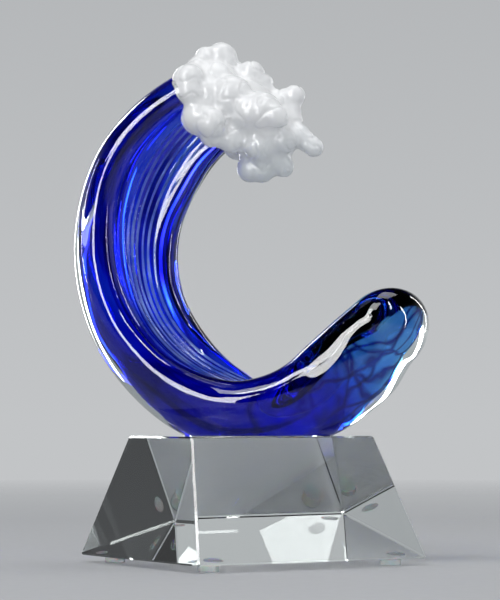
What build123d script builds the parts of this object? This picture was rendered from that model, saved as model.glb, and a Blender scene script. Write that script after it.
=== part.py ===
"""Glass wave sculpture: a cased cobalt curl with an opal foam crest, bonded to a clear crystal block.

Millimetres, +Z up. The origin is on the table, under the middle of the block; the block's front faces -Y.
"""

import os
from dataclasses import dataclass
from math import atan2, copysign, cos, hypot, radians, sin, sqrt

from build123d import *

os.makedirs("parts", exist_ok=True)

# Crystal block: a four-sided frustum
BASE_WIDTH = 120.0
BASE_DEPTH = 108.0
BASE_HEIGHT = 55.0
TOP_WIDTH = 97.0
TOP_DEPTH = 57.0
BASE_CHAMFER = 0.8

# Clear bumper feet under the block's corners
FOOT_DIAMETER = 9.5
FOOT_HEIGHT = 3.2
FOOT_ROUND = 0.6
FOOT_INSET = 12.0  # from the block's lower edges to the middle of a foot

# Adhesive between the block and the ground flat of the wave
BOND_THICKNESS = 0.2

# Spine of the wave, in one upright plane: a wide curl, a tighter heel, then a straight tail
WAVE_HEADING = -42.0  # plan direction in which the tail points, from +X
CURL_RADIUS = 77.0
CREST_ANGLE = 60.0  # how far the curl rises past its leftmost point
HEEL_ANGLE = 20.0  # where the curl gives way to the heel, before the lowest point
HEEL_RADIUS = 46.0
TAIL_ANGLE = 44.0
TAIL_LENGTH = 55.5
HEEL_HEIGHT = 11.0  # lowest point of the spine above the ground flat
HEEL_OFFSET = 5.0  # lowest point of the spine from the block's middle, along the heading
WAVE_SHIFT_X = 0.8
WAVE_SHIFT_Y = 0.8

# Layers of glass in the wave
CASING = 3.0
TRAIL_DIAMETER = 1.2

# Cross-section of the wave: two rim rounds joined by arcs over the hollow face and round the back
BODY_SPANS = 18  # spans from the crest to where the tail starts to close
TIP_ROUND = 22.0  # length over which the tail closes
TIP_STEPS = (0.35, 0.65, 0.85, 0.95, 0.99)


@dataclass
class Station:
    """One cross-section: its place along the spine, its sizes, and how far its hollow turns to the front."""

    at: float
    width: float
    thickness: float
    hollow: float
    belly: float
    rim: float
    twist: float


CREST = Station(at=0.00, width=46, thickness=16, hollow=14, belly=0.5, rim=6, twist=41)
SHOULDER = Station(at=0.14, width=54, thickness=20, hollow=12, belly=1, rim=7.5, twist=46)
SIDE = Station(at=0.28, width=52, thickness=24, hollow=11, belly=2, rim=8.5, twist=44)
HAUNCH = Station(at=0.43, width=50, thickness=26, hollow=11, belly=2.5, rim=9, twist=36)
HEEL_START = Station(at=0.60, width=51, thickness=29, hollow=8, belly=2.2, rim=10, twist=12)
HEEL = Station(at=0.69, width=52, thickness=31, hollow=6, belly=-2, rim=11, twist=-8)
TAIL_ROOT = Station(at=0.80, width=50, thickness=32, hollow=4, belly=2.8, rim=12.5, twist=-22)
TAIL_SIDE = Station(at=0.865, width=48.5, thickness=31.8, hollow=2.6, belly=5.2, rim=13, twist=-23.5)
TAIL = Station(at=0.92, width=46, thickness=31, hollow=1, belly=1.8, rim=13.5, twist=-24)
STATIONS = (CREST, SHOULDER, SIDE, HAUNCH, HEEL_START, HEEL, TAIL_ROOT, TAIL_SIDE, TAIL)

# Pale trails: their places across the hollow face, as shares of the half width between the rim rounds
TRAIL_PLACES = (-0.95, -0.75, -0.55, -0.35, -0.15, 0.05)
TRAIL_START = 0.01  # where along the spine they begin
TRAIL_END = 0.80  # where they run out
TRAIL_SPANS = 16

# Foam lobes about the end of the spine: along the heading, toward the front, up, radius
FOAM_LOBES = (
    (5.0, 2.0, 5.5, 15.0),
    (17.5, 0.0, -4.0, 17.0),
    (29.0, 0.0, -14.5, 15.5),
    (8.0, -2.0, 21.8, 7.9),
    (1.2, 2.0, 22.4, 5.0),
    (-0.6, 5.0, 16.4, 6.5),
    (-3.6, 17.0, 9.5, 7.6),
    (-2.8, 19.0, 3.9, 6.2),
    (4.0, 12.0, 2.0, 9.5),
    (0.9, 16.0, -7.6, 8.3),
    (7.1, 14.0, -14.8, 6.6),
    (15.0, 11.0, -17.0, 6.8),
    (7.3, 20.0, -10.8, 7.0),
    (15.5, 12.0, 2.0, 10.0),
    (24.0, 13.0, -5.0, 9.5),
    (22.0, -2.0, 14.2, 6.7),
    (26.8, -4.0, 9.6, 5.8),
    (36.4, -3.0, 1.6, 6.0),
    (42.2, -3.0, 3.9, 5.3),
    (40.6, -2.5, -3.5, 5.2),
    (41.2, -1.0, -8.5, 5.6),
    (45.0, 2.0, -15.2, 5.6),
    (49.0, 2.0, -18.2, 5.0),
    (52.0, 2.0, -20.8, 4.7),
    (30.0, 14.0, -5.4, 9.3),
    (36.6, 17.0, -7.8, 5.8),
    (40.1, 18.0, -9.7, 3.3),
    (28.2, 9.0, -20.1, 7.9),
    (39.5, 9.0, -18.2, 5.9),
    (34.1, 3.0, -26.0, 6.5),
    (22.6, 2.0, -30.0, 6.6),
    (28.0, 3.0, -30.6, 6.3),
    (37.7, 2.0, -29.3, 5.3),
    (3.5, -13.0, 7.5, 10.5),
    (17.0, -13.5, 1.0, 11.5),
    (29.0, -12.5, -9.5, 10.5),
    (12.0, -14.0, -10.0, 10.5),
    (23.0, -12.0, -19.5, 9.0),
    (15.0, -9.0, -17.0, 8.0),
    (5.0, -15.0, -2.0, 8.0),
    (-3.2, 10.0, 12.6, 6.5),
    (-4.2, 4.5, 13.0, 6.4),
    (-4.0, -2.0, 12.5, 6.5),
    (-3.5, -7.0, 11.0, 7.0),
)

# Heights of the stack
BASE_BOTTOM = FOOT_HEIGHT
BASE_TOP = BASE_BOTTOM + BASE_HEIGHT
BOND_TOP = BASE_TOP + BOND_THICKNESS

# Upright plane of the wave: local x along the heading, local y up, its normal toward the back
wave_origin = Vector(WAVE_SHIFT_X, WAVE_SHIFT_Y, BOND_TOP)
heading = Vector(cos(radians(WAVE_HEADING)), sin(radians(WAVE_HEADING)), 0)
front = heading.cross(Vector(0, 0, 1))
wave_plane = Plane(origin=wave_origin, x_dir=heading, z_dir=front)

radius_step = CURL_RADIUS - HEEL_RADIUS
curl_centre = (
    HEEL_OFFSET + radius_step * sin(radians(HEEL_ANGLE)),
    HEEL_HEIGHT + HEEL_RADIUS + radius_step * cos(radians(HEEL_ANGLE)),
)
with BuildLine(wave_plane) as spine:
    curl = CenterArc(curl_centre, CURL_RADIUS, 180 - CREST_ANGLE, 90 + CREST_ANGLE - HEEL_ANGLE)
    heel = JernArc(curl @ 1, curl % 1, HEEL_RADIUS, HEEL_ANGLE + TAIL_ANGLE)
    tail = PolarLine(heel @ 1, TAIL_LENGTH, direction=heel % 1)
spine_wire = spine.wire()
spine_length = spine_wire.length


def slope(index, size):
    """Rate at which a station size changes along the spine, from the stations on either side."""
    low = STATIONS[max(index - 1, 0)]
    high = STATIONS[min(index + 1, len(STATIONS) - 1)]
    return (getattr(high, size) - getattr(low, size)) / (high.at - low.at)


def profile(at, size):
    """A station size at any place along the spine, on a smooth curve through the stations."""
    index = max(i for i, station in enumerate(STATIONS[:-1]) if station.at <= at)
    low, high = STATIONS[index], STATIONS[index + 1]
    span = high.at - low.at
    t = min((at - low.at) / span, 1)
    ends = getattr(low, size) * (1 - 3 * t**2 + 2 * t**3) + getattr(high, size) * (3 * t**2 - 2 * t**3)
    return ends + span * (slope(index, size) * (t - 2 * t**2 + t**3) + slope(index + 1, size) * (t**3 - t**2))


def section_plane(at):
    """Plane across the spine: local x toward the front rim, local y into the hollow, turned by the twist."""
    along = spine_wire % at
    inner = front.cross(along)
    turn = radians(profile(at, "twist"))
    return Plane(origin=spine_wire @ at, x_dir=front * cos(turn) - inner * sin(turn), z_dir=along * -1)


def arc_centre(spread, rim, apex):
    """Height of the middle of an arc that touches both rim rounds, from the rounds' own middles."""
    drop = rim - apex
    return (spread**2 - drop**2) / (2 * drop)


def touch(spread, rim, apex):
    """Where the arc through the apex of a face meets a rim round, measured from between the two rounds."""
    centre = arc_centre(spread, rim, apex)
    reach = copysign(rim, rim - apex) / hypot(spread, centre)
    return spread * (1 - reach), centre * reach


def section_face(at, width, thickness, hollow, belly, rim):
    """Face of one cross-section of the wave, on its plane across the spine."""
    lift = hollow / 2
    spread = width / 2 - rim
    face_top = thickness / 2 - lift
    back = -thickness / 2 - lift - belly
    inner_x, inner_y = touch(spread, rim, face_top - lift)
    outer_x, outer_y = touch(spread, rim, lift - back)
    turn = (atan2(inner_y, inner_x - spread) - atan2(outer_y, outer_x - spread)) / 2
    nose_x = spread + rim * cos(turn)
    nose_y = rim * sin(turn)
    with BuildSketch(section_plane(at)) as section:
        with BuildLine():
            ThreePointArc((outer_x, lift - outer_y), (nose_x, lift + nose_y), (inner_x, lift + inner_y))
            ThreePointArc((inner_x, lift + inner_y), (0, face_top), (-inner_x, lift + inner_y))
            ThreePointArc((-inner_x, lift + inner_y), (-nose_x, lift + nose_y), (-outer_x, lift - outer_y))
            ThreePointArc((-outer_x, lift - outer_y), (0, back), (outer_x, lift - outer_y))
        make_face()
    return section.sketch


def wave_sections(inset):
    """Cross-sections from the crest to the rounded tail tip, drawn in from the wave's surface by the inset."""
    body_end = 1 - TIP_ROUND / spine_length
    tip_length = (TIP_ROUND - inset) / spine_length
    places = [(body_end * step / BODY_SPANS, 1) for step in range(BODY_SPANS + 1)]
    places += [(body_end + step * tip_length, sqrt(1 - step**2)) for step in TIP_STEPS]
    return [
        section_face(
            at,
            width=share * (profile(at, "width") - 2 * inset),
            thickness=share * (profile(at, "thickness") - 2 * inset),
            hollow=share * profile(at, "hollow"),
            belly=share * profile(at, "belly"),
            rim=share * (profile(at, "rim") - inset),
        )
        for at, share in places
    ]


def trail_points(place):
    """Points along the hollow face, half way through the casing, that a trail runs through."""
    points = []
    for step in range(TRAIL_SPANS + 1):
        at = TRAIL_START + (TRAIL_END - TRAIL_START) * step / TRAIL_SPANS
        hollow = profile(at, "hollow")
        spread = profile(at, "width") / 2 - profile(at, "rim")
        rim = profile(at, "rim") - CASING / 2
        apex = (profile(at, "thickness") - CASING) / 2 - hollow
        across = place * touch(spread, rim, apex)[0]
        centre = arc_centre(spread, rim, apex)
        depth = copysign(sqrt((centre - apex) ** 2 - across**2), centre - apex)
        points.append(section_plane(at).from_local_coords((across, hollow / 2 + centre - depth)))
    return points


def write(piece, name):
    piece.part.label = name
    export_step(piece.part, f"parts/{name}.step")


# Crystal block
with BuildPart() as crystal_base:
    with BuildSketch(Plane.XY.offset(BASE_BOTTOM)):
        Rectangle(BASE_WIDTH, BASE_DEPTH)
    with BuildSketch(Plane.XY.offset(BASE_TOP)):
        Rectangle(TOP_WIDTH, TOP_DEPTH)
    loft()
    chamfer(crystal_base.edges(), BASE_CHAMFER)
write(crystal_base, "crystal_base")

# Bumper feet, one under each corner
for depth_name, depth_sign in (("front", -1), ("rear", 1)):
    for side_name, side_sign in (("left", -1), ("right", 1)):
        foot_x = side_sign * (BASE_WIDTH / 2 - FOOT_INSET)
        foot_y = depth_sign * (BASE_DEPTH / 2 - FOOT_INSET)
        with BuildPart() as bumper:
            with BuildSketch():
                with Locations((foot_x, foot_y)):
                    Circle(FOOT_DIAMETER / 2)
            extrude(amount=FOOT_HEIGHT)
            fillet(bumper.edges().group_by(Axis.Z)[0], FOOT_ROUND)
        write(bumper, f"bumper_{depth_name}_{side_name}")

# Whole wave, ground flat where it meets the adhesive
with BuildPart() as wave_blank:
    loft(sections=wave_sections(0))
    split(bisect_by=Plane.XY.offset(BOND_TOP), keep=Keep.TOP)

# Cobalt core, kept clear of the ground flat by the casing
with BuildPart() as wave_core:
    loft(sections=wave_sections(CASING))
    split(bisect_by=Plane.XY.offset(BOND_TOP + CASING), keep=Keep.TOP)
write(wave_core, "wave_core")

# Pale trails inside the casing of the hollow face
trails = []
for number, place in enumerate(TRAIL_PLACES, start=1):
    with BuildPart() as trail:
        with BuildLine() as path:
            Spline(trail_points(place))
        with BuildSketch(Plane(origin=path.line @ 0, z_dir=path.line % 0)):
            Circle(TRAIL_DIAMETER / 2)
        sweep()
    write(trail, f"pale_trail_{number}")
    trails.append(trail.part)

# Clear casing round the core and the trails
with BuildPart() as wave_casing:
    add(wave_blank.part)
    add(wave_core.part, mode=Mode.SUBTRACT)
    add(trails, mode=Mode.SUBTRACT)
write(wave_casing, "wave_casing")

# Adhesive film, as large as the ground flat
with BuildPart() as bond_film:
    extrude(wave_blank.faces().sort_by(Axis.Z)[0], amount=BOND_THICKNESS, dir=(0, 0, -1))
write(bond_film, "bond_film")

# Foam crest, fused over the end of the curl
crest_end = spine_wire @ 0
lobes = []
for along, forward, up, radius in FOAM_LOBES:
    lobe_place = crest_end + heading * along + front * forward + Vector(0, 0, up)
    lobes.append(Pos(lobe_place) * Sphere(radius))
with BuildPart() as foam_crest:
    add(lobes)
    add(wave_blank.part, mode=Mode.SUBTRACT)
write(foam_crest, "foam_crest")
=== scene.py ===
"""Dresses the glass wave sculpture: cased cobalt wave, opal foam and crystal block on clear bumpers."""

from math import atan2, copysign, cos, hypot, pi, radians, sin, sqrt
from typing import NamedTuple

import bmesh
import bpy
from mathutils import Matrix, Vector, noise


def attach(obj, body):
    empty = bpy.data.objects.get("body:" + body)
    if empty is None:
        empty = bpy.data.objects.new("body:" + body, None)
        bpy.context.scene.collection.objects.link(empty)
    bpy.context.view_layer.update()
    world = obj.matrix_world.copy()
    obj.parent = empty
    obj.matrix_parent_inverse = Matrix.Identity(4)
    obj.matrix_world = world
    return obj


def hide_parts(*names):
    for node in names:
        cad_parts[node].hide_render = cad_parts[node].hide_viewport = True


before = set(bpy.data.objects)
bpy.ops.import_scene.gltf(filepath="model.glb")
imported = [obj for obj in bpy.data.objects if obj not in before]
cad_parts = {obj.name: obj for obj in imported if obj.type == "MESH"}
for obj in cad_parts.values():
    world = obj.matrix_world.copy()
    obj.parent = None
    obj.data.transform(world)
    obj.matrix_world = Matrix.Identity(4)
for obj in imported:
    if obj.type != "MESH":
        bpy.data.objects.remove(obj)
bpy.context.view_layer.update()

MM = 0.001
scene = bpy.context.scene

# Stack of the sculpture, in millimetres above the floor
FOOT_HEIGHT = 3.2
BASE_HEIGHT = 55.0
BOND_THICKNESS = 0.2
BOND_TOP = FOOT_HEIGHT + BASE_HEIGHT + BOND_THICKNESS

# Spine of the wave: a wide curl, a tighter heel, then a straight tail, in one upright plane
WAVE_HEADING = radians(-42.0)
CURL_RADIUS = 77.0
CREST_ANGLE = radians(60.0)
HEEL_ANGLE = radians(20.0)
HEEL_RADIUS = 46.0
TAIL_ANGLE = radians(44.0)
TAIL_LENGTH = 55.5
HEEL_HEIGHT = 11.0
HEEL_OFFSET = 5.0
WAVE_ORIGIN = Vector((0.8, 0.8, BOND_TOP))
TIP_ROUND = 22.0


class Clear(NamedTuple):
    """Clear glass left round a section.

    In millimetres at the front and rear rims and over the hollow face, as a share of the thickness
    behind the back, and as a share of the width beside the colour in the tail.
    """

    front: float
    rear: float
    face: float
    back: float
    tail: float


OUTSIDE = Clear(front=0, rear=0, face=0, back=0, tail=0)
CASING = Clear(front=7.0, rear=2.8, face=2.6, back=0.38, tail=0.78)

# Where along the spine the clear front rim and back narrow, by what share the back does, and where the
# colour thins into the tail
RIM_NARROWS = (0.50, 0.68)
BACK_NARROWS_BY = 0.78
COLOUR_THINS = (0.72, 0.88)


class Station(NamedTuple):
    """One cross-section of the wave: its place along the spine, its sizes, and its turn to the front."""

    at: float
    width: float
    thickness: float
    hollow: float
    belly: float
    rim: float
    twist: float


STATIONS = (
    Station(at=0.00, width=46, thickness=16, hollow=14, belly=0.5, rim=6, twist=41),
    Station(at=0.14, width=54, thickness=20, hollow=12, belly=1, rim=7.5, twist=46),
    Station(at=0.28, width=52, thickness=24, hollow=11, belly=2, rim=8.5, twist=44),
    Station(at=0.43, width=50, thickness=26, hollow=11, belly=2.5, rim=9, twist=36),
    Station(at=0.60, width=51, thickness=29, hollow=8, belly=2.2, rim=10, twist=12),
    Station(at=0.69, width=52, thickness=31, hollow=6, belly=-2, rim=11, twist=-8),
    Station(at=0.80, width=50, thickness=32, hollow=4, belly=2.8, rim=12.5, twist=-22),
    Station(at=0.865, width=48.5, thickness=31.8, hollow=2.6, belly=5.2, rim=13, twist=-23.5),
    Station(at=0.92, width=46, thickness=31, hollow=1, belly=1.8, rim=13.5, twist=-24),
)

heading = Vector((cos(WAVE_HEADING), sin(WAVE_HEADING), 0))
up = Vector((0, 0, 1))
front = heading.cross(up)

# Lengths of the spine's three runs
CURL_SWEEP = pi / 2 + CREST_ANGLE - HEEL_ANGLE
CURL_LENGTH = CURL_RADIUS * CURL_SWEEP
HEEL_SWEEP = HEEL_ANGLE + TAIL_ANGLE
HEEL_LENGTH = HEEL_RADIUS * HEEL_SWEEP
SPINE_LENGTH = CURL_LENGTH + HEEL_LENGTH + TAIL_LENGTH


def spine(at):
    """Place and direction on the spine, from the crest at 0 to the tail at 1, in millimetres."""
    run = at * SPINE_LENGTH
    heel_centre = Vector((HEEL_OFFSET, HEEL_HEIGHT + HEEL_RADIUS))
    heel_start = 3 * pi / 2 - HEEL_ANGLE
    step = CURL_RADIUS - HEEL_RADIUS
    curl_centre = heel_centre - step * Vector((cos(heel_start), sin(heel_start)))
    if run < CURL_LENGTH:
        centre, radius, turn = curl_centre, CURL_RADIUS, pi - CREST_ANGLE + run / CURL_RADIUS
    else:
        heel_run = min(run - CURL_LENGTH, HEEL_LENGTH)
        centre, radius, turn = heel_centre, HEEL_RADIUS, heel_start + heel_run / HEEL_RADIUS
    direction = Vector((-sin(turn), cos(turn)))
    flat = centre + radius * Vector((cos(turn), sin(turn)))
    flat += direction * max(run - CURL_LENGTH - HEEL_LENGTH, 0)
    place = WAVE_ORIGIN + heading * flat.x + up * flat.y
    return place, heading * direction.x + up * direction.y


def slope(index, size):
    """Rate at which a station size changes along the spine, from the stations on either side."""
    low = STATIONS[max(index - 1, 0)]
    high = STATIONS[min(index + 1, len(STATIONS) - 1)]
    return (getattr(high, size) - getattr(low, size)) / (high.at - low.at)


def profile(at, size):
    """A station size at any place along the spine, on a smooth curve through the stations."""
    index = max(i for i, station in enumerate(STATIONS[:-1]) if station.at <= at)
    low, high = STATIONS[index], STATIONS[index + 1]
    span = high.at - low.at
    t = min((at - low.at) / span, 1)
    ends = getattr(low, size) * (1 - 3 * t**2 + 2 * t**3) + getattr(high, size) * (3 * t**2 - 2 * t**3)
    bends = slope(index, size) * (t - 2 * t**2 + t**3) + slope(index + 1, size) * (t**3 - t**2)
    return ends + span * bends


def ease(at, start, end):
    """Smooth rise from 0 to 1 between two places along the spine."""
    t = min(max((at - start) / (end - start), 0), 1)
    return t * t * (3 - 2 * t)


def section_axes(at):
    """Middle of a cross-section, its direction to the front rim and its direction into the hollow."""
    place, along = spine(at)
    turn = radians(profile(at, "twist"))
    across = front * cos(turn) - front.cross(along) * sin(turn)
    return place, across, -along.cross(across)


def arc_centre(spread, rim, apex):
    """Height of the middle of an arc that touches both rim rounds, from the rounds' own middles."""
    drop = rim - apex
    return (spread**2 - drop**2) / (2 * drop)


def arc_half(spread, rim, apex):
    """Half angle of that arc, its radius, negative where it bulges, and its end on the front rim round."""
    centre = arc_centre(spread, rim, apex)
    reach = copysign(rim, rim - apex) / hypot(spread, centre)
    touch = Vector((spread * (1 - reach), centre * reach))
    radius = centre - apex
    return atan2(touch.x, (centre - touch.y) * copysign(1, radius)), radius, touch


# Points round a cross-section: rim rounds, hollow face and back
RIM_STEPS = 20
FACE_STEPS = 44
BACK_STEPS = 56
RING_POINTS = 2 * RIM_STEPS + FACE_STEPS + BACK_STEPS


def ring(at, share, clear):
    """Points round a cross-section, from below the front rim over the hollow: across, into the hollow."""
    narrowing = ease(at, *RIM_NARROWS)
    wide = clear.rear + (clear.front - clear.rear) * (1 - narrowing)
    width = share * (profile(at, "width") - wide - clear.rear)
    middle = share * (clear.rear - wide) / 2
    back = clear.back * profile(at, "thickness") * (1 - BACK_NARROWS_BY * narrowing)
    thickness = share * (profile(at, "thickness") - clear.face - back)
    hollow = share * profile(at, "hollow")
    belly = share * profile(at, "belly")
    rim = share * (profile(at, "rim") - (clear.face + back) / 2)
    spread = width / 2 - rim
    lift = hollow / 2 + share * (back - clear.face) / 2
    face_half, face_radius, face_touch = arc_half(spread, rim, thickness / 2 - hollow)
    back_half, back_radius, back_touch = arc_half(spread, rim, thickness / 2 + hollow + belly)
    face_centre = lift + thickness / 2 - hollow + face_radius
    back_centre = lift - thickness / 2 - hollow - belly - back_radius
    low = atan2(-back_touch.y, back_touch.x - spread)
    high = atan2(face_touch.y, face_touch.x - spread)
    points = []
    for step in range(RIM_STEPS):
        turn = low + (high - low) * step / RIM_STEPS
        points.append((middle + spread + rim * cos(turn), lift + rim * sin(turn)))
    for step in range(FACE_STEPS):
        turn = face_half * (1 - 2 * step / FACE_STEPS)
        points.append((middle + abs(face_radius) * sin(turn), face_centre - face_radius * cos(turn)))
    for step in range(RIM_STEPS):
        turn = high + (low - high) * step / RIM_STEPS
        points.append((middle - spread - rim * cos(turn), lift + rim * sin(turn)))
    for step in range(BACK_STEPS):
        turn = back_half * (2 * step / BACK_STEPS - 1)
        points.append((middle + abs(back_radius) * sin(turn), back_centre + back_radius * cos(turn)))
    thin = 1 - clear.tail * ease(at, *COLOUR_THINS)
    return [(middle + (x - middle) * thin, y) for x, y in points]


def tube_faces(rings, sides):
    """Faces of a tube of that many rings, each with that many points, closed flat at both ends."""
    faces = []
    for row in range(rings - 1):
        low, high = row * sides, (row + 1) * sides
        for side in range(sides):
            after = (side + 1) % sides
            faces.append((low + side, low + after, high + after, high + side))
    faces.append(tuple(reversed(range(sides))))
    faces.append(tuple(range((rings - 1) * sides, rings * sides)))
    return faces


def new_piece(name, verts, faces, replaced):
    """A smooth mesh piece in the sculpture's frame, given in millimetres, in place of its solids."""
    mesh = bpy.data.meshes.new(name)
    mesh.from_pydata([Vector(v) * MM for v in verts], [], faces)
    mesh.polygons.foreach_set("use_smooth", [True] * len(mesh.polygons))
    piece = bpy.data.objects.new(name, mesh)
    scene.collection.objects.link(piece)
    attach(piece, "root")
    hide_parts(*replaced)
    return piece


# Rings along the wave: even to where the tail closes, then closer over its round tip
BODY_RINGS = 190
TIP_RINGS = 26
TIP_SHARE = 0.998
FLOW_GIRTH = 19.0  # radius, in millimetres, on which the flow is wrapped round the wave


def wave_rings(clear):
    """Place along the spine and share of the full section for each ring, from the crest to the tail tip."""
    body_end = 1 - TIP_ROUND / SPINE_LENGTH
    tip_length = (TIP_ROUND - clear.rear) / SPINE_LENGTH
    rings = [(body_end * step / BODY_RINGS, 1.0) for step in range(BODY_RINGS + 1)]
    for step in range(1, TIP_RINGS + 1):
        reach = TIP_SHARE * sin(pi / 2 * step / TIP_RINGS)
        rings.append((body_end + reach * tip_length, sqrt(1 - reach**2)))
    return rings


def grind_flat(piece, height):
    """Cuts a piece off level at a height in millimetres, and closes it there."""
    body = bmesh.new()
    body.from_mesh(piece.data)
    everything = body.verts[:] + body.edges[:] + body.faces[:]
    cut = bmesh.ops.bisect_plane(
        body, geom=everything, plane_co=up * height * MM, plane_no=-up, clear_outer=True
    )
    rim = [item for item in cut["geom_cut"] if isinstance(item, bmesh.types.BMEdge)]
    bmesh.ops.contextual_create(body, geom=rim)
    bmesh.ops.recalc_face_normals(body, faces=body.faces)
    body.to_mesh(piece.data)
    body.free()


def wave_surface(name, clear, flat_height, relief, replaced):
    """Closed surface of the wave inside its clear glass, with hand-worked relief and a ground flat.

    Its flow attribute runs along the spine and round the wave, for patterns drawn out with the glass.
    """
    verts, flow = [], []
    rings = wave_rings(clear)
    for at, share in rings:
        place, across, inward = section_axes(at)
        points = ring(at, share, clear)
        for index, (x, y) in enumerate(points):
            before, after = points[index - 1], points[(index + 1) % RING_POINTS]
            normal = Vector((after[1] - before[1], before[0] - after[0])).normalized()
            push = share * relief(at, index / RING_POINTS)
            local = Vector((x, y)) + normal * push
            verts.append(place + across * local.x + inward * local.y)
            around = 2 * pi * index / RING_POINTS
            flow += (at * SPINE_LENGTH * MM, FLOW_GIRTH * cos(around) * MM, FLOW_GIRTH * sin(around) * MM)
    piece = new_piece(name, verts, tube_faces(len(rings), RING_POINTS), replaced)
    piece.data.attributes.new("flow", "FLOAT_VECTOR", "POINT").data.foreach_set("vector", flow)
    grind_flat(piece, flat_height)
    return piece


# Hand-worked relief of the casing: heights and spacings in millimetres, shifts to pick a stretch of noise
RIB_HEIGHT = 0.25
RIB_COUNT = 7
RIB_WANDER = 0.4  # how far a rib strays, as a share of the rib spacing
WANDER_ALONG = 5
WANDER_ACROSS = 3
WANDER_SHIFT = 4.2
RIPPLE_HEIGHT = 0.5  # loose folds of the hollow near the crest
RIPPLE_SPACING = 13.0
RIPPLE_ACROSS = 7
RIPPLE_SHIFT = 9.1
RIPPLE_FADES = (0.1, 0.3)
DRIFT_HEIGHT = 0.35  # slow changes of thickness
DRIFT_SPACING = 26.0
DRIFT_GIRTH = 2
DRIFT_INWARD = 0.4  # keeps the drift mostly inside the drawn surface

# Unevenness of the core, in millimetres
UNEVEN_HEIGHT = 0.8
UNEVEN_TAIL_HEIGHT = 1.6  # more of it in the tail
UNEVEN_GROWS = (0.66, 0.82)
UNEVEN_SPACING = 15.0
UNEVEN_GIRTH = 2.2
UNEVEN_SHIFT = 7
UNEVEN_INWARD = 0.5


def wrapped_noise(at, turn, spacing, girth, shift=0):
    """Noise on a tube round the wave, with that spacing along the spine in millimetres."""
    around = 2 * pi * turn
    along = at * SPINE_LENGTH / spacing
    return noise.noise(Vector((along, girth * cos(around) + shift, girth * sin(around))))


def casing_relief(at, turn):
    """Shallow lengthwise ribs in the hollow, loose folds near the crest and slow drifts of thickness."""
    face_start = RIM_STEPS / RING_POINTS
    face_end = (RIM_STEPS + FACE_STEPS) / RING_POINTS
    on_face = (turn - face_start) / (face_end - face_start)
    rib = 0.0
    if 0 < on_face < 1:
        stray = noise.noise(Vector((at * WANDER_ALONG, WANDER_ACROSS * on_face, WANDER_SHIFT)))
        wander = RIB_WANDER * stray
        rib = RIB_HEIGHT * sin(pi * on_face) * cos(2 * pi * (RIB_COUNT * on_face + wander))
        along = at * SPINE_LENGTH / RIPPLE_SPACING
        fold = noise.noise(Vector((along, RIPPLE_ACROSS * on_face, RIPPLE_SHIFT)))
        rib += RIPPLE_HEIGHT * fold * sin(pi * on_face) * (1 - ease(at, *RIPPLE_FADES))
    drift = wrapped_noise(at, turn, DRIFT_SPACING, DRIFT_GIRTH)
    return rib + DRIFT_HEIGHT * (drift - DRIFT_INWARD)


def core_relief(at, turn):
    """Deeper unevenness where the coloured gather met the clear one, most of all in the tail."""
    height = UNEVEN_HEIGHT + UNEVEN_TAIL_HEIGHT * ease(at, *UNEVEN_GROWS)
    return height * (wrapped_noise(at, turn, UNEVEN_SPACING, UNEVEN_GIRTH, UNEVEN_SHIFT) - UNEVEN_INWARD)


wave_casing = wave_surface(
    "wave_casing_glass", OUTSIDE, BOND_TOP, casing_relief, ["wave_casing"]
)
wave_core = wave_surface(
    "wave_core_glass", CASING, BOND_TOP + CASING.face, core_relief, ["wave_core"]
)

# Pale threads along the hollow, half way through the casing: shares of the half width, and millimetres
TRAIL_PLACES = (-0.95, -0.75, -0.55, -0.35, -0.15, 0.05)
TRAIL_END = 0.80
TRAIL_RADIUS = 0.6
TRAIL_END_RADIUS = 0.2
TRAIL_RINGS = 120
TRAIL_SIDES = 12
TRAIL_FADE_RINGS = 30  # rings over which a thread thins out
TRAIL_SWELL = 0.25
TRAIL_SWELLS = 16  # about how many along the spine
TRAIL_SHIFT = 3.1  # so that each thread swells in other places


def pale_trail(number, place):
    """One thread of pale glass, that swells and thins as it was drawn and fades out toward the tail."""
    verts = []
    for step in range(TRAIL_RINGS + 1):
        at = TRAIL_END * step / TRAIL_RINGS
        hollow = profile(at, "hollow")
        spread = profile(at, "width") / 2 - profile(at, "rim")
        rim = profile(at, "rim") - CASING.face / 2
        apex = (profile(at, "thickness") - CASING.face) / 2 - hollow
        _, radius, touch = arc_half(spread, rim, apex)
        x = place * touch.x
        y = hollow / 2 + apex + radius - copysign(sqrt(radius**2 - x**2), radius)
        thin = min(1, (TRAIL_RINGS - step) / TRAIL_FADE_RINGS)
        swell = 1 + TRAIL_SWELL * noise.noise(Vector((at * TRAIL_SWELLS, number * TRAIL_SHIFT, 0)))
        size = (TRAIL_END_RADIUS + (TRAIL_RADIUS - TRAIL_END_RADIUS) * thin) * swell
        middle, across, inward = section_axes(at)
        for side in range(TRAIL_SIDES):
            turn = 2 * pi * side / TRAIL_SIDES
            verts.append(middle + across * (x + size * cos(turn)) + inward * (y + size * sin(turn)))
    faces = tube_faces(TRAIL_RINGS + 1, TRAIL_SIDES)
    return new_piece(f"pale_trail_glass_{number}", verts, faces, [f"pale_trail_{number}"])


pale_trails = [pale_trail(number, place) for number, place in enumerate(TRAIL_PLACES, start=1)]

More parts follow.
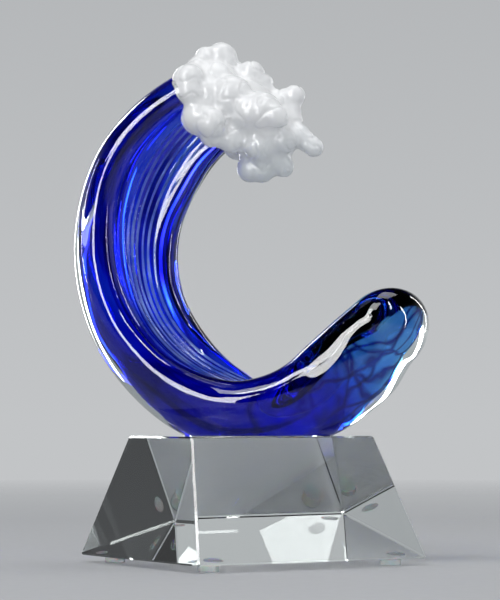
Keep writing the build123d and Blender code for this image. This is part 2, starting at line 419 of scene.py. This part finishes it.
# Foam lobes about the end of the spine: along the heading, toward the front, up, radius
FOAM_LOBES = (
    (5.0, 2.0, 5.5, 15.0),
    (17.5, 0.0, -4.0, 17.0),
    (29.0, 0.0, -14.5, 15.5),
    (8.0, -2.0, 21.8, 7.9),
    (1.2, 2.0, 22.4, 5.0),
    (-0.6, 5.0, 16.4, 6.5),
    (-3.6, 17.0, 9.5, 7.6),
    (-2.8, 19.0, 3.9, 6.2),
    (4.0, 12.0, 2.0, 9.5),
    (0.9, 16.0, -7.6, 8.3),
    (7.1, 14.0, -14.8, 6.6),
    (15.0, 11.0, -17.0, 6.8),
    (7.3, 20.0, -10.8, 7.0),
    (15.5, 12.0, 2.0, 10.0),
    (24.0, 13.0, -5.0, 9.5),
    (22.0, -2.0, 14.2, 6.7),
    (26.8, -4.0, 9.6, 5.8),
    (36.4, -3.0, 1.6, 6.0),
    (42.2, -3.0, 3.9, 5.3),
    (40.6, -2.5, -3.5, 5.2),
    (41.2, -1.0, -8.5, 5.6),
    (45.0, 2.0, -15.2, 5.6),
    (49.0, 2.0, -18.2, 5.0),
    (52.0, 2.0, -20.8, 4.7),
    (30.0, 14.0, -5.4, 9.3),
    (36.6, 17.0, -7.8, 5.8),
    (40.1, 18.0, -9.7, 3.3),
    (28.2, 9.0, -20.1, 7.9),
    (39.5, 9.0, -18.2, 5.9),
    (34.1, 3.0, -26.0, 6.5),
    (22.6, 2.0, -30.0, 6.6),
    (28.0, 3.0, -30.6, 6.3),
    (37.7, 2.0, -29.3, 5.3),
    (3.5, -13.0, 7.5, 10.5),
    (17.0, -13.5, 1.0, 11.5),
    (29.0, -12.5, -9.5, 10.5),
    (12.0, -14.0, -10.0, 10.5),
    (23.0, -12.0, -19.5, 9.0),
    (15.0, -9.0, -17.0, 8.0),
    (5.0, -15.0, -2.0, 8.0),
    (-3.2, 10.0, 12.6, 6.5),
    (-4.2, 4.5, 13.0, 6.4),
    (-4.0, -2.0, 12.5, 6.5),
    (-3.5, -7.0, 11.0, 7.0),
)
FOAM_DIVISIONS = 4
FOAM_VOXEL = 0.7
FOAM_SOFTEN = 6
SOFTEN_FACTOR = 0.5
FOAM_FILL = 0.9  # how far the crevices between lobes have run full
CREASE_DEPTH = 0.5  # folds where one gather of white was laid over the next
CREASE_HALF = 0.1
CREASE_SPACING = 10.0


def foam_crease(place):
    """Depth of the fold at a place on the foam, in millimetres."""
    drift = abs(noise.noise(place / (CREASE_SPACING * MM)))
    return CREASE_DEPTH * max(0, 1 - drift / CREASE_HALF)


def soften(piece, name):
    """Evens out the surface of the foam."""
    smooth = piece.modifiers.new(name, "SMOOTH")
    smooth.factor = SOFTEN_FACTOR
    smooth.iterations = FOAM_SOFTEN


def foam_mass():
    """The lobes melted into one lump: joined, remeshed and softened so that each runs into the next."""
    crest_end = spine(0)[0]
    body = bmesh.new()
    for along, forward, rise, radius in FOAM_LOBES:
        place = crest_end + heading * along + front * forward + up * rise
        bmesh.ops.create_icosphere(
            body, subdivisions=FOAM_DIVISIONS, radius=radius * MM, matrix=Matrix.Translation(place * MM)
        )
    mesh = bpy.data.meshes.new("foam_crest_glass")
    body.to_mesh(mesh)
    body.free()
    piece = bpy.data.objects.new("foam_crest_glass", mesh)
    scene.collection.objects.link(piece)
    for name, swell in (("fuse", FOAM_FILL), ("melt", -FOAM_FILL)):
        fuse = piece.modifiers.new(name, "REMESH")
        fuse.mode = "VOXEL"
        fuse.voxel_size = FOAM_VOXEL * MM
        fuse.use_smooth_shade = True
        soften(piece, name + "_soften")
        fill = piece.modifiers.new(name + "_fill", "DISPLACE")
        fill.mid_level = 0.0
        fill.strength = swell * MM
    soften(piece, "polish")
    graph = bpy.context.evaluated_depsgraph_get()
    melted = bpy.data.meshes.new_from_object(piece.evaluated_get(graph))
    piece.modifiers.clear()
    folded = [vert.co - vert.normal * foam_crease(vert.co) * MM for vert in melted.vertices]
    for vert, place in zip(melted.vertices, folded):
        vert.co = place
    piece.data = melted
    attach(piece, "root")
    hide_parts("foam_crest")
    return piece


foam_crest = foam_mass()


# Materials
def linear(hex_colour):
    """Linear RGBA of an sRGB hex colour."""
    values = [int(hex_colour[i : i + 2], 16) / 255 for i in (1, 3, 5)]
    return [v / 12.92 if v <= 0.04045 else ((v + 0.055) / 1.055) ** 2.4 for v in values] + [1.0]


def pattern_scale(size):
    """Texture scale of a pattern whose features are about this many millimetres across."""
    return 1 / (size * MM)


def node(tree, kind, inputs=None, stops=(), **settings):
    """Adds a shader node; inputs are values for its sockets, or the sockets that feed them.

    The stops of a colour ramp are pairs of a place and a colour, in order.
    """
    made = tree.nodes.new("ShaderNode" + kind)
    for name, value in settings.items():
        setattr(made, name, value)
    for name, value in (inputs or {}).items():
        if isinstance(value, bpy.types.NodeSocket):
            tree.links.new(value, made.inputs[name])
        else:
            made.inputs[name].default_value = value
    if stops:
        ramp = made.color_ramp.elements
        ends = [ramp[0], ramp[1]]
        for stop, (position, colour) in zip(ends, (stops[0], stops[-1])):
            stop.position = position
            stop.color = linear(colour)
        for position, colour in stops[1:-1]:
            ramp.new(position).color = linear(colour)
    return made


def new_material(name):
    """An empty node material."""
    material = bpy.data.materials.new(name)
    material.use_nodes = True
    material.node_tree.nodes.clear()
    return material, material.node_tree


def optical_crystal():
    """Lead-free crystal, sawn, ground and cerium-polished: flat faces, sharp edges, hardly any colour."""
    material, tree = new_material("polished_optical_crystal")
    place = node(tree, "TexCoord").outputs["Object"]
    haze = node(tree, "TexNoise", {"Vector": place, "Scale": pattern_scale(14), "Detail": 3.0})
    cloud = node(tree, "ValToRGB", {"Fac": haze.outputs[0]}, stops=((0.0, "#F9FBFB"), (1.0, "#FFFFFF")))
    glass = node(tree, "BsdfPrincipled", {
        "Base Color": cloud.outputs[0], "Roughness": 0.0, "IOR": 1.52, "Transmission Weight": 1.0,
    })
    tint = node(tree, "VolumeAbsorption", {"Color": linear("#DDEBE6"), "Density": 2.5})
    node(tree, "OutputMaterial", {"Surface": glass.outputs[0], "Volume": tint.outputs[0]})
    return material


def clear_casing_glass():
    """Clear gather over the colour, fire-polished: wet gloss, with faint cords where it was drawn out."""
    material, tree = new_material("fire_polished_clear_glass")
    place = node(tree, "TexCoord").outputs["Object"]
    cords = node(tree, "TexNoise", {"Vector": place, "Scale": pattern_scale(9), "Detail": 2.0})
    swell = node(tree, "Bump", {"Height": cords.outputs[0], "Strength": 0.08, "Distance": 0.4 * MM})
    glass = node(tree, "BsdfPrincipled", {
        "Base Color": linear("#FBFFFE"), "Roughness": 0.008, "IOR": 1.5, "Transmission Weight": 1.0,
        "Normal": swell.outputs[0],
    })
    tint = node(tree, "VolumeAbsorption", {"Color": linear("#CFE6DF"), "Density": 6.0})
    node(tree, "OutputMaterial", {"Surface": glass.outputs[0], "Volume": tint.outputs[0]})
    return material


# Cobalt glass: share of a distance along the spine that a pattern sees, so that it is drawn out that way.
# In the tail the colour turns to painted refraction: light patches of pale backdrop between dark seams
STREAK_ALONG = 0.11
REFRACTION_PATCH_ALONG = 0.45
REFRACTION_PATCH_SWIRL = 8.0  # millimetres
PAINTED_REFRACTION_START = 200.0  # millimetres along the spine
PAINTED_REFRACTION_FULL = 232.0
PAINTED_REFRACTION_SHARE = 0.9  # of the colour, where the patches are full


def cobalt_glass():
    """Cobalt glass gathered under the clear: deep blue streaks, then in the tail painted refraction, light
    patches of pale backdrop between dark seams.

    The surface joins glass to glass, so its IOR is the small step from the clear glass to the coloured.
    """
    material, tree = new_material("cobalt_blue_glass")
    flow = node(tree, "Attribute", attribute_name="flow").outputs["Vector"]
    drawn = node(tree, "Mapping", {"Vector": flow, "Scale": (STREAK_ALONG, 1.0, 1.0)})
    streaks = node(tree, "TexNoise", {
        "Vector": drawn.outputs[0], "Scale": pattern_scale(8), "Detail": 2.0, "Distortion": 0.6,
    })
    depth = node(tree, "ValToRGB", {"Fac": streaks.outputs[0]}, stops=(
        (0.34, "#0A0E6E"), (0.42, "#3A1FC0"), (0.50, "#3450F2"), (0.66, "#8CA8FF"),
    ))
    pulled = node(tree, "Mapping", {"Vector": flow, "Scale": (REFRACTION_PATCH_ALONG, 1.0, 1.0)})
    swirl = node(tree, "TexNoise", {"Vector": flow, "Scale": pattern_scale(14), "Detail": 2.0})
    bent = node(tree, "VectorMath", {
        0: swirl.outputs["Color"], 1: [REFRACTION_PATCH_SWIRL * MM] * 3, 2: pulled.outputs[0],
    }, operation="MULTIPLY_ADD")
    # Painted refraction: light patches of the pale backdrop between dark seams, as if seen through the tail
    refraction_seams = node(tree, "TexVoronoi", {
        "Vector": bent.outputs[0], "Scale": pattern_scale(11),
    }, feature="DISTANCE_TO_EDGE")
    painted_refraction = node(tree, "ValToRGB", {"Fac": refraction_seams.outputs["Distance"]}, stops=(
        (0.02, "#0A0E5A"), (0.11, "#95E7FF"),
    ))
    along = node(tree, "SeparateXYZ", {0: flow}).outputs["X"]
    # The painted refraction takes over from the streaks toward the tail
    tail = node(tree, "MapRange", {
        "Value": along, "From Min": PAINTED_REFRACTION_START * MM, "From Max": PAINTED_REFRACTION_FULL * MM,
        "To Max": PAINTED_REFRACTION_SHARE,
    })
    tint = node(tree, "Mix", {
        "Factor": tail.outputs[0], "A": depth.outputs[0], "B": painted_refraction.outputs[0],
    }, data_type="RGBA")
    glass = node(tree, "BsdfPrincipled", {
        "Base Color": tint.outputs[2], "Roughness": 0.0, "IOR": 1.03, "Transmission Weight": 1.0,
    })
    colour = node(tree, "VolumeAbsorption", {"Color": linear("#6BB5F9"), "Density": 230.0})
    node(tree, "OutputMaterial", {"Surface": glass.outputs[0], "Volume": colour.outputs[0]})
    return material


def pale_thread_glass():
    """Pale blue glass cane, drawn out to threads in the casing: milky, so each reads as a soft line."""
    material, tree = new_material("pale_blue_cane_glass")
    place = node(tree, "TexCoord").outputs["Object"]
    mottle = node(tree, "TexNoise", {"Vector": place, "Scale": pattern_scale(12), "Detail": 2.0})
    shade = node(tree, "ValToRGB", {"Fac": mottle.outputs[0]}, stops=((0.35, "#4F74D8"), (0.7, "#B9D2FA")))
    glass = node(tree, "BsdfPrincipled", {
        "Base Color": shade.outputs[0], "Roughness": 0.3, "IOR": 1.05, "Transmission Weight": 0.45,
    })
    node(tree, "OutputMaterial", {"Surface": glass.outputs[0]})
    return material


# Opal glass: heights above the floor, in millimetres, between which it goes from thin and grey with painted
# shade to thicker and white
OPAL_THIN_AND_SHADED = 175.0
OPAL_THICK_AND_LIT = 215.0
OPAL_UNEVEN = 0.5  # share of the lumps in its whiteness


def opal_glass():
    """Opal white glass, dropped on hot and melted together: milky white where it is thicker, greyer low
    down, partly thinner opal and partly painted shade under the lobes above.
    """
    material, tree = new_material("opal_white_glass")
    place = node(tree, "TexCoord").outputs["Object"]
    lumps = node(tree, "TexNoise", {"Vector": place, "Scale": pattern_scale(11), "Detail": 3.0})
    height = node(tree, "SeparateXYZ", {0: place}).outputs["Z"]
    # Greyer low down: partly thinner opal, partly painted shade under the lobes above
    thick_and_lit = node(tree, "MapRange", {
        "Value": height, "From Min": OPAL_THIN_AND_SHADED * MM, "From Max": OPAL_THICK_AND_LIT * MM,
    })
    blend = node(tree, "Math", {
        0: lumps.outputs[0], 1: OPAL_UNEVEN, 2: thick_and_lit.outputs[0],
    }, operation="MULTIPLY_ADD")
    opal_and_shade = node(tree, "ValToRGB", {"Fac": blend.outputs[0]}, stops=((0.2, "#D9DFE2"), (0.9, "#F7F8F9")))
    glass = node(tree, "BsdfPrincipled", {
        "Base Color": opal_and_shade.outputs[0], "Roughness": 0.2, "IOR": 1.5, "Specular IOR Level": 0.3,
        "Subsurface Weight": 0.35, "Subsurface Radius": (1.0, 1.0, 1.0), "Subsurface Scale": 2 * MM,
    })
    node(tree, "OutputMaterial", {"Surface": glass.outputs[0]})
    return material


def bumper_polyurethane():
    """Clear cast polyurethane: soft-looking, slightly grey, with a satin skin from its mould."""
    material, tree = new_material("clear_cast_polyurethane")
    place = node(tree, "TexCoord").outputs["Object"]
    skin = node(tree, "TexNoise", {"Vector": place, "Scale": pattern_scale(0.8), "Detail": 2.0})
    satin = node(tree, "MapRange", {"Value": skin.outputs[0], "To Min": 0.12, "To Max": 0.28})
    plastic = node(tree, "BsdfPrincipled", {
        "Base Color": linear("#D9DEDF"), "Roughness": satin.outputs[0], "IOR": 1.49,
        "Transmission Weight": 0.35, "Subsurface Weight": 0.5, "Subsurface Scale": 2 * MM,
    })
    node(tree, "OutputMaterial", {"Surface": plastic.outputs[0]})
    return material


def clear_adhesive():
    """Cured clear adhesive, pressed thin between polished faces: nearly unseen, with faint specks."""
    material, tree = new_material("clear_cured_adhesive")
    place = node(tree, "TexCoord").outputs["Object"]
    specks = node(tree, "TexNoise", {"Vector": place, "Scale": pattern_scale(1.5), "Detail": 2.0})
    cure = node(tree, "MapRange", {"Value": specks.outputs[0], "To Min": 0.02, "To Max": 0.1})
    film = node(tree, "BsdfPrincipled", {
        "Base Color": linear("#F4F8F7"), "Roughness": cure.outputs[0], "IOR": 1.5,
        "Transmission Weight": 1.0,
    })
    node(tree, "OutputMaterial", {"Surface": film.outputs[0]})
    return material


def paint(piece, material):
    """Gives a piece one material."""
    piece.data.materials.clear()
    piece.data.materials.append(material)


paint(wave_casing, clear_casing_glass())
paint(wave_core, cobalt_glass())
thread = pale_thread_glass()
for trail in pale_trails:
    paint(trail, thread)
paint(foam_crest, opal_glass())
crystal = optical_crystal()
polyurethane = bumper_polyurethane()
adhesive = clear_adhesive()
for name, cad_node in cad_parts.items():
    if name == "crystal_base":
        paint(cad_node, crystal)
    elif name == "bond_film":
        paint(cad_node, adhesive)
    elif name.startswith("bumper"):
        paint(cad_node, polyurethane)

# Studio: a pale floor that fades into a pale surround, in metres
FLOOR_SIZE = 4.0
FLOOR_FADES = 0.5
FLOOR_GONE = 1.6


def matt_paper():
    """Matt pale grey paper: even, with a faint tooth, drawn coarse enough to show."""
    material, tree = new_material("matt_grey_paper")
    place = node(tree, "TexCoord").outputs["Object"]
    tooth = node(tree, "TexNoise", {"Vector": place, "Scale": pattern_scale(6), "Detail": 3.0})
    shade = node(tree, "ValToRGB", {"Fac": tooth.outputs[0]}, stops=((0.0, "#BABBBD"), (1.0, "#C1C2C4")))
    paper = node(tree, "BsdfPrincipled", {
        "Base Color": shade.outputs[0], "Roughness": 0.9, "IOR": 1.4, "Specular IOR Level": 0.0,
    })
    away = node(tree, "VectorMath", {0: place}, operation="LENGTH")
    fade = node(tree, "MapRange", {
        "Value": away.outputs["Value"], "From Min": FLOOR_FADES, "From Max": FLOOR_GONE,
    })
    nothing = node(tree, "BsdfTransparent")
    blend = node(tree, "MixShader", {0: fade.outputs[0], 1: paper.outputs[0], 2: nothing.outputs[0]})
    node(tree, "OutputMaterial", {"Surface": blend.outputs[0]})
    return material


def paper_floor():
    """A square of paper under the sculpture."""
    reach = FLOOR_SIZE / 2
    corners = [(-reach, -reach, 0), (reach, -reach, 0), (reach, reach, 0), (-reach, reach, 0)]
    mesh = bpy.data.meshes.new("floor")
    mesh.from_pydata(corners, [], [(0, 1, 2, 3)])
    floor = bpy.data.objects.new("floor", mesh)
    scene.collection.objects.link(floor)
    paint(floor, matt_paper())


paper_floor()

# Directions of the studio, from the photograph's side: away from the camera, and to its right
CAMERA_AZIMUTH = radians(31.7)
view = Vector((sin(CAMERA_AZIMUTH), cos(CAMERA_AZIMUTH), 0))
right = Vector((cos(CAMERA_AZIMUTH), -sin(CAMERA_AZIMUTH), 0))

# Surround: where a direction's share along the view, or upward, starts and ends the change to dark
BEHIND = (0.15, -0.3)
OVERHEAD = (0.3, 0.6)
ASIDE = (0.25, -0.05)
BACKDROP_LOW = "#C2C4C6"
BACKDROP_HIGH = "#9A9DA0"
MIRRORED_DARK = "#141516"
BENT_DARK = "#2A2C2E"


def studio_surround():
    """A plain pale backdrop, and dark flags behind and overhead that only reflections and glass pick up."""
    world = bpy.data.worlds.new("studio")
    scene.world = world
    world.use_nodes = True
    tree = world.node_tree
    tree.nodes.clear()
    look = node(tree, "TexCoord").outputs["Generated"]
    rise = node(tree, "SeparateXYZ", {0: look}).outputs["Z"]
    ahead = node(tree, "VectorMath", {0: look, 1: view}, operation="DOT_PRODUCT").outputs["Value"]
    behind, above, aside = [
        node(tree, "MapRange", {
            "Value": share, "From Min": start, "From Max": end,
        }, interpolation_type="SMOOTHSTEP").outputs[0]
        for share, (start, end) in ((ahead, BEHIND), (rise, OVERHEAD), (ahead, ASIDE))
    ]
    flags = node(tree, "Math", {0: behind, 1: above}, operation="MAXIMUM").outputs[0]
    backdrop = node(tree, "ValToRGB", {"Fac": rise}, stops=((0.0, BACKDROP_LOW), (0.5, BACKDROP_HIGH)))
    mirrored, bent = [
        node(tree, "Mix", {
            "Factor": dark, "A": backdrop.outputs[0], "B": linear(colour),
        }, data_type="RGBA").outputs[2]
        for dark, colour in ((flags, MIRRORED_DARK), (aside, BENT_DARK))
    ]
    plain, reflected, refracted = [
        node(tree, "Background", {"Color": colour, "Strength": 1.0}).outputs[0]
        for colour in (backdrop.outputs[0], mirrored, bent)
    ]
    # A ray bent by glass counts as glossy too, so the choice for bent rays comes last
    path = node(tree, "LightPath").outputs
    gloss = node(tree, "MixShader", {0: path["Is Glossy Ray"], 1: plain, 2: reflected})
    glazed = node(tree, "MixShader", {0: path["Is Transmission Ray"], 1: gloss.outputs[0], 2: refracted})
    node(tree, "OutputWorld", {"Surface": glazed.outputs[0]})


studio_surround()

TARGET = Vector((0, 0, 0.12))


def softbox(name, place, width, height, power, glass_only=False, fill_only=False):
    """A soft lamp, in metres and watts, that faces the sculpture, for highlights, fill or both."""
    lamp = bpy.data.lights.new(name, "AREA")
    lamp.shape = "RECTANGLE"
    lamp.size = width
    lamp.size_y = height
    lamp.energy = power
    box = bpy.data.objects.new(name, lamp)
    box.location = place
    box.rotation_euler = (TARGET - place).to_track_quat("-Z", "Y").to_euler()
    box.visible_camera = False
    box.visible_diffuse = not glass_only
    box.visible_glossy = not fill_only
    box.visible_transmission = not fill_only
    scene.collection.objects.link(box)


def studio_place(across, away, height):
    """A place in metres from the camera's side: to its right, behind the sculpture, above the floor."""
    return right * across + view * away + up * height


softbox("key_softbox", studio_place(-0.7, -1.1, 2.2), 1.0, 1.0, 21.5)
softbox("top_softbox", studio_place(0.2, 0.4, 2.4), 1.2, 1.2, 13.0)
softbox("low_fill", studio_place(0.1, -0.8, 0.06), 0.8, 0.3, 1.2, fill_only=True)
softbox("left_band", studio_place(-0.47, -0.98, 0.25), 0.22, 0.8, 8.0, glass_only=True)
softbox("upper_left_strip", studio_place(-0.55, -0.75, 0.72), 0.24, 0.7, 8.5, glass_only=True)
softbox("upper_right_strip", studio_place(0.46, -0.62, 0.92), 0.06, 0.6, 3.0, glass_only=True)
softbox("right_front_strip", studio_place(0.95, -0.45, 0.3), 0.05, 0.8, 3.0, glass_only=True)
softbox("left_edge_strip", studio_place(-1.05, 0.22, 0.2), 0.06, 0.9, 4.0, glass_only=True)
softbox("left_back_strip", studio_place(-0.50, 0.9, 0.3), 0.15, 0.9, 4.0, glass_only=True)
softbox("right_back_strip", studio_place(0.7, 0.6, 0.3), 0.1, 0.9, 2.4, glass_only=True)

# Camera at the photograph's angle: metres, and millimetres of lens and sensor
CAMERA_DISTANCE = 1.106
CAMERA_HEIGHT = 0.0654
CAMERA_SLIDE = -0.0007
CAMERA_TILT = radians(2.86)
CAMERA_NEAR = 0.01
LENS = 144.5
SENSOR = 36.0
camera_data = bpy.data.cameras.new("camera")
camera_data.lens = LENS
camera_data.sensor_width = SENSOR
camera_data.clip_start = CAMERA_NEAR
camera = bpy.data.objects.new("camera", camera_data)
camera.location = right * CAMERA_SLIDE - view * CAMERA_DISTANCE + up * CAMERA_HEIGHT
aim = view * cos(CAMERA_TILT) + up * sin(CAMERA_TILT)
camera.rotation_euler = aim.to_track_quat("-Z", "Y").to_euler()
scene.collection.objects.link(camera)
scene.camera = camera

# Enough bounces for light to cross the layers of glass and come out again
GLASS_BOUNCES = 24
CLEAR_BOUNCES = 16
scene.view_settings.view_transform = "Standard"
scene.cycles.use_denoising = True
scene.cycles.max_bounces = GLASS_BOUNCES
scene.cycles.transmission_bounces = GLASS_BOUNCES
scene.cycles.transparent_max_bounces = CLEAR_BOUNCES
